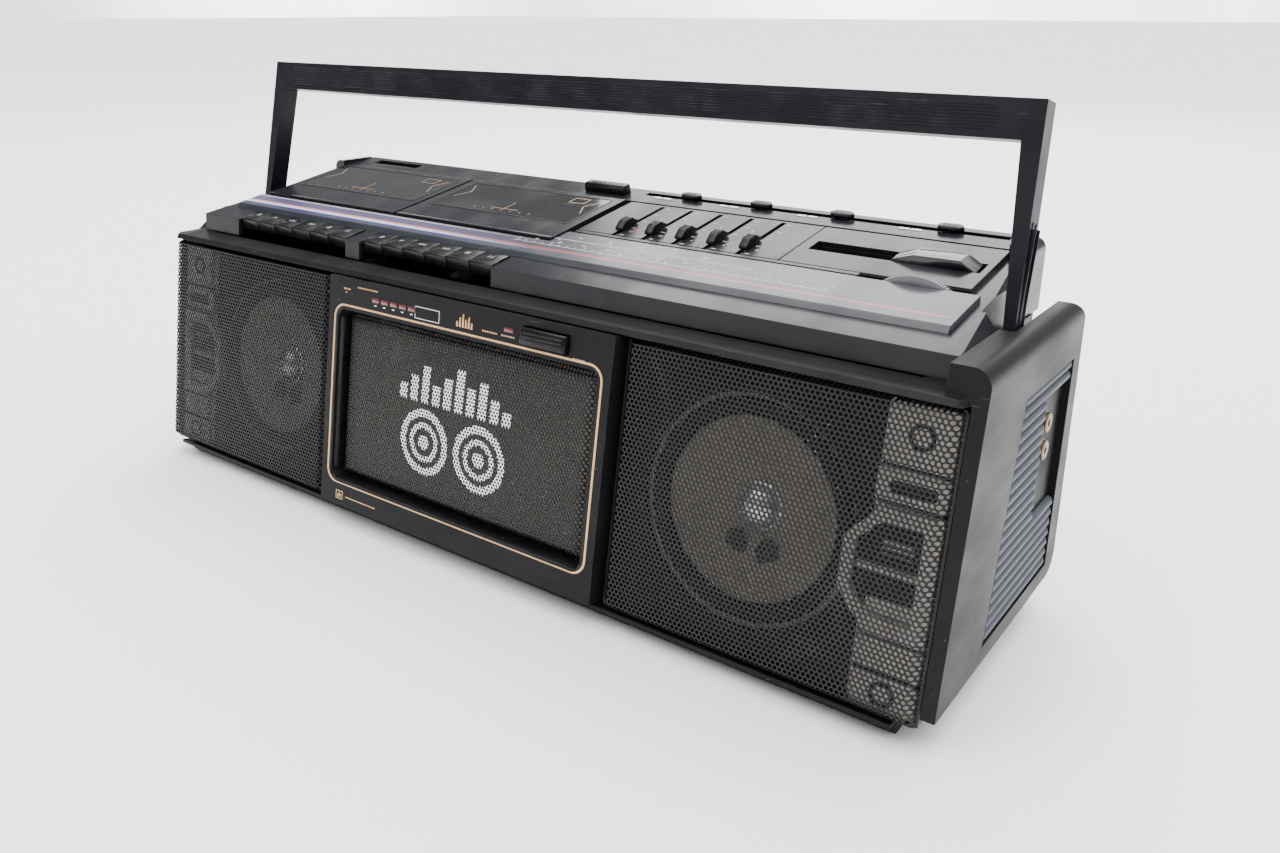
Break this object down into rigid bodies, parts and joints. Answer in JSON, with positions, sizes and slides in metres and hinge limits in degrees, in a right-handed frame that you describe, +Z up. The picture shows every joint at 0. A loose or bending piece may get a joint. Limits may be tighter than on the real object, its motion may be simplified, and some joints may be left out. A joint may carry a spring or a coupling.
{
  "type": "cassette player",
  "caption": "Portable twin-cassette radio recorder with folding carrying handle, piano keys, slider controls and perforated speaker grilles.",
  "frame": {"origin": "on the surface that the feet stand on, at the middle of the length and depth", "axes": "+Z up, front towards -Y, length along X"},
  "size_m": [0.6, 0.1895, 0.2774],
  "materials": {
    "charcoal_plastic": "satin charcoal moulding, scuffed and dusty",
    "deck_plastic": "brushed gunmetal paint over plastic, light scratches",
    "base_plastic": "black fine texture",
    "handle_plastic": "near-black, slightly bluish, satin",
    "black_plastic": "black satin",
    "tuning_wheel_plastic": "silver-grey, knurled rim",
    "pointer_plastic": "red",
    "grille_steel": "black perforated sheet",
    "driver_paper": "brown-grey coated paper cone in a steel basket",
    "smoked_window": "smoked clear plastic",
    "zinc_steel": "zinc plated",
    "reel_plastic": "off-white",
    "foot_rubber": "black",
    "board_laminate": "phenolic board with parts",
    "transformer_steel": "varnished laminations",
    "jack_metal": "nickel plated"
  },
  "bodies": {
    "cabinet": {"front_cabinet": "charcoal_plastic", "rear_cabinet": "charcoal_plastic", "case_screws": "zinc_steel", "base_plinth": "base_plastic", "rubber_feet": "foot_rubber", "left_grille": "grille_steel", "right_grille": "grille_steel", "left_speaker": "driver_paper", "right_speaker": "driver_paper", "woofer": "driver_paper", "left_tweeter_strip": "charcoal_plastic", "right_tweeter_strip": "charcoal_plastic", "front_bezel": "charcoal_plastic", "woofer_grille": "grille_steel", "top_deck": "deck_plastic", "scale_panel": "deck_plastic", "control_panel": "deck_plastic", "tape_chassis": "zinc_steel", "capstan_motor": "zinc_steel", "circuit_board": "board_laminate", "power_transformer": "transformer_steel", "jack_plate": "jack_metal"},
    "handle": {"handle": "handle_plastic"},
    "left_door": {"left_door": "deck_plastic", "left_door_window": "smoked_window"},
    "right_door": {"right_door": "deck_plastic", "right_door_window": "smoked_window"},
    "left_key_1": {"left_key_1": "black_plastic"},
    "left_key_2": {"left_key_2": "black_plastic"},
    "left_key_3": {"left_key_3": "black_plastic"},
    "left_key_4": {"left_key_4": "black_plastic"},
    "left_key_5": {"left_key_5": "black_plastic"},
    "left_key_6": {"left_key_6": "black_plastic"},
    "right_key_1": {"right_key_1": "black_plastic"},
    "right_key_2": {"right_key_2": "black_plastic"},
    "right_key_3": {"right_key_3": "black_plastic"},
    "right_key_4": {"right_key_4": "black_plastic"},
    "right_key_5": {"right_key_5": "black_plastic"},
    "right_key_6": {"right_key_6": "black_plastic"},
    "eq_slider_1": {"eq_slider_1": "black_plastic"},
    "eq_slider_2": {"eq_slider_2": "black_plastic"},
    "eq_slider_3": {"eq_slider_3": "black_plastic"},
    "eq_slider_4": {"eq_slider_4": "black_plastic"},
    "eq_slider_5": {"eq_slider_5": "black_plastic"},
    "volume_slider": {"volume_slider": "black_plastic"},
    "balance_slider": {"balance_slider": "black_plastic"},
    "treble_slider": {"treble_slider": "black_plastic"},
    "bass_slider": {"bass_slider": "black_plastic"},
    "band_selector": {"band_selector": "black_plastic"},
    "tuning_wheel": {"tuning_wheel": "tuning_wheel_plastic"},
    "dial_pointer": {"dial_pointer": "pointer_plastic"},
    "push_button": {"push_button": "black_plastic"},
    "mode_button": {"mode_button": "black_plastic"},
    "left_flywheel": {"left_flywheel": "zinc_steel"},
    "left_supply_spindle": {"left_supply_spindle": "reel_plastic"},
    "left_takeup_spindle": {"left_takeup_spindle": "reel_plastic"},
    "right_flywheel": {"right_flywheel": "zinc_steel"},
    "right_supply_spindle": {"right_supply_spindle": "reel_plastic"},
    "right_takeup_spindle": {"right_takeup_spindle": "reel_plastic"},
    "battery_hatch": {"battery_hatch": "base_plastic"}
  },
  "joints": [
    {"name": "handle_fold", "type": "hinge", "parent": "cabinet", "child": "handle", "pos_m": [0, 0.012, 0.165], "axis": [-1, 0, 0], "range_deg": [0, 78]},
    {"name": "left_door_hinge", "type": "hinge", "parent": "cabinet", "child": "left_door", "pos_m": [-0.1937, 0.06939, 0.19888], "axis": [-1, 0, 0], "range_deg": [0, 55]},
    {"name": "right_door_hinge", "type": "hinge", "parent": "cabinet", "child": "right_door", "pos_m": [-0.0546, 0.06939, 0.19888], "axis": [-1, 0, 0], "range_deg": [0, 55]},
    {"name": "left_key_1_press", "type": "hinge", "parent": "cabinet", "child": "left_key_1", "pos_m": [-0.23045, -0.02945, 0.17113], "axis": [1, 0, 0], "range_deg": [0, 10], "stiffness_Nm_per_rad": 0.2, "springref_deg": -6.88},
    {"name": "left_key_2_press", "type": "hinge", "parent": "cabinet", "child": "left_key_2", "pos_m": [-0.21135, -0.02945, 0.17113], "axis": [1, 0, 0], "range_deg": [0, 10], "stiffness_Nm_per_rad": 0.2, "springref_deg": -6.88},
    {"name": "left_key_3_press", "type": "hinge", "parent": "cabinet", "child": "left_key_3", "pos_m": [-0.19225, -0.02945, 0.17113], "axis": [1, 0, 0], "range_deg": [0, 10], "stiffness_Nm_per_rad": 0.2, "springref_deg": -6.88},
    {"name": "left_key_4_press", "type": "hinge", "parent": "cabinet", "child": "left_key_4", "pos_m": [-0.17315, -0.02945, 0.17113], "axis": [1, 0, 0], "range_deg": [0, 10], "stiffness_Nm_per_rad": 0.2, "springref_deg": -6.88},
    {"name": "left_key_5_press", "type": "hinge", "parent": "cabinet", "child": "left_key_5", "pos_m": [-0.15405, -0.02945, 0.17113], "axis": [1, 0, 0], "range_deg": [0, 10], "stiffness_Nm_per_rad": 0.2, "springref_deg": -6.88},
    {"name": "left_key_6_press", "type": "hinge", "parent": "cabinet", "child": "left_key_6", "pos_m": [-0.13495, -0.02945, 0.17113], "axis": [1, 0, 0], "range_deg": [0, 10], "stiffness_Nm_per_rad": 0.2, "springref_deg": -6.88},
    {"name": "right_key_1_press", "type": "hinge", "parent": "cabinet", "child": "right_key_1", "pos_m": [-0.10145, -0.02945, 0.17113], "axis": [1, 0, 0], "range_deg": [0, 10], "stiffness_Nm_per_rad": 0.2, "springref_deg": -6.88},
    {"name": "right_key_2_press", "type": "hinge", "parent": "cabinet", "child": "right_key_2", "pos_m": [-0.08235, -0.02945, 0.17113], "axis": [1, 0, 0], "range_deg": [0, 10], "stiffness_Nm_per_rad": 0.2, "springref_deg": -6.88},
    {"name": "right_key_3_press", "type": "hinge", "parent": "cabinet", "child": "right_key_3", "pos_m": [-0.06325, -0.02945, 0.17113], "axis": [1, 0, 0], "range_deg": [0, 10], "stiffness_Nm_per_rad": 0.2, "springref_deg": -6.88},
    {"name": "right_key_4_press", "type": "hinge", "parent": "cabinet", "child": "right_key_4", "pos_m": [-0.04415, -0.02945, 0.17113], "axis": [1, 0, 0], "range_deg": [0, 10], "stiffness_Nm_per_rad": 0.2, "springref_deg": -6.88},
    {"name": "right_key_5_press", "type": "hinge", "parent": "cabinet", "child": "right_key_5", "pos_m": [-0.02505, -0.02945, 0.17113], "axis": [1, 0, 0], "range_deg": [0, 10], "stiffness_Nm_per_rad": 0.2, "springref_deg": -6.88},
    {"name": "right_key_6_press", "type": "hinge", "parent": "cabinet", "child": "right_key_6", "pos_m": [-0.00595, -0.02945, 0.17113], "axis": [1, 0, 0], "range_deg": [0, 10], "stiffness_Nm_per_rad": 0.2, "springref_deg": -6.88},
    {"name": "eq_1_slide", "type": "slide", "parent": "cabinet", "child": "eq_slider_1", "axis": [0, 0.9857, 0.1685], "range_m": [-0.0105, 0.0345]},
    {"name": "eq_2_slide", "type": "slide", "parent": "cabinet", "child": "eq_slider_2", "axis": [0, 0.9857, 0.1685], "range_m": [-0.0105, 0.0345]},
    {"name": "eq_3_slide", "type": "slide", "parent": "cabinet", "child": "eq_slider_3", "axis": [0, 0.9857, 0.1685], "range_m": [-0.0105, 0.0345]},
    {"name": "eq_4_slide", "type": "slide", "parent": "cabinet", "child": "eq_slider_4", "axis": [0, 0.9857, 0.1685], "range_m": [-0.0105, 0.0345]},
    {"name": "eq_5_slide", "type": "slide", "parent": "cabinet", "child": "eq_slider_5", "axis": [0, 0.9857, 0.1685], "range_m": [-0.0105, 0.0345]},
    {"name": "volume_slide", "type": "slide", "parent": "cabinet", "child": "volume_slider", "axis": [1, 0, 0], "range_m": [-0.014, 0.014]},
    {"name": "balance_slide", "type": "slide", "parent": "cabinet", "child": "balance_slider", "axis": [1, 0, 0], "range_m": [-0.014, 0.014]},
    {"name": "treble_slide", "type": "slide", "parent": "cabinet", "child": "treble_slider", "axis": [1, 0, 0], "range_m": [-0.014, 0.014]},
    {"name": "bass_slide", "type": "slide", "parent": "cabinet", "child": "bass_slider", "axis": [1, 0, 0], "range_m": [-0.014, 0.014]},
    {"name": "band_slide", "type": "slide", "parent": "cabinet", "child": "band_selector", "axis": [1, 0, 0], "range_m": [-0.045, 0]},
    {"name": "tuning_turn", "type": "hinge", "parent": "cabinet", "child": "tuning_wheel", "pos_m": [0.235, 0.01731, 0.16289], "axis": [0, 0.9857, 0.1685], "range_deg": [-133, 267]},
    {"name": "pointer_slide", "type": "slide", "parent": "cabinet", "child": "dial_pointer", "axis": [1, 0, 0], "range_m": [-0.07, 0.14]},
    {"name": "button_press", "type": "slide", "parent": "cabinet", "child": "push_button", "axis": [0, 0.9854, -0.1702], "range_m": [0, 0.003], "stiffness_N_per_m": 400, "springref_m": -0.002},
    {"name": "mode_press", "type": "slide", "parent": "cabinet", "child": "mode_button", "axis": [0, 0.1685, -0.9857], "range_m": [0, 0.003], "stiffness_N_per_m": 400, "springref_m": -0.002},
    {"name": "left_flywheel_spin", "type": "hinge", "parent": "cabinet", "child": "left_flywheel", "pos_m": [-0.1817, 0.00998, 0.15707], "axis": [0, -0.1685, 0.9857], "continuous": true},
    {"name": "left_supply_spin", "type": "hinge", "parent": "cabinet", "child": "left_supply_spindle", "pos_m": [-0.21495, 0.03886, 0.17215], "axis": [0, -0.1685, 0.9857], "continuous": true},
    {"name": "left_takeup_spin", "type": "hinge", "parent": "cabinet", "child": "left_takeup_spindle", "pos_m": [-0.17245, 0.03886, 0.17215], "axis": [0, -0.1685, 0.9857], "continuous": true},
    {"name": "right_flywheel_spin", "type": "hinge", "parent": "cabinet", "child": "right_flywheel", "pos_m": [-0.0426, 0.00998, 0.15707], "axis": [0, -0.1685, 0.9857], "continuous": true},
    {"name": "right_supply_spin", "type": "hinge", "parent": "cabinet", "child": "right_supply_spindle", "pos_m": [-0.07585, 0.03886, 0.17215], "axis": [0, -0.1685, 0.9857], "continuous": true},
    {"name": "right_takeup_spin", "type": "hinge", "parent": "cabinet", "child": "right_takeup_spindle", "pos_m": [-0.03335, 0.03886, 0.17215], "axis": [0, -0.1685, 0.9857], "continuous": true},
    {"name": "hatch_hinge", "type": "hinge", "parent": "cabinet", "child": "battery_hatch", "pos_m": [0, 0.0947, 0.0205], "axis": [-1, 0, 0], "range_deg": [0, 100]}
  ],
  "couplings": [
    {"joint": "pointer_slide", "follows": "tuning_turn", "m_per_rad": 0.03},
    {"joint": "left_takeup_spin", "follows": "left_flywheel_spin", "ratio": 0.07},
    {"joint": "right_takeup_spin", "follows": "right_flywheel_spin", "ratio": 0.07}
  ]
}
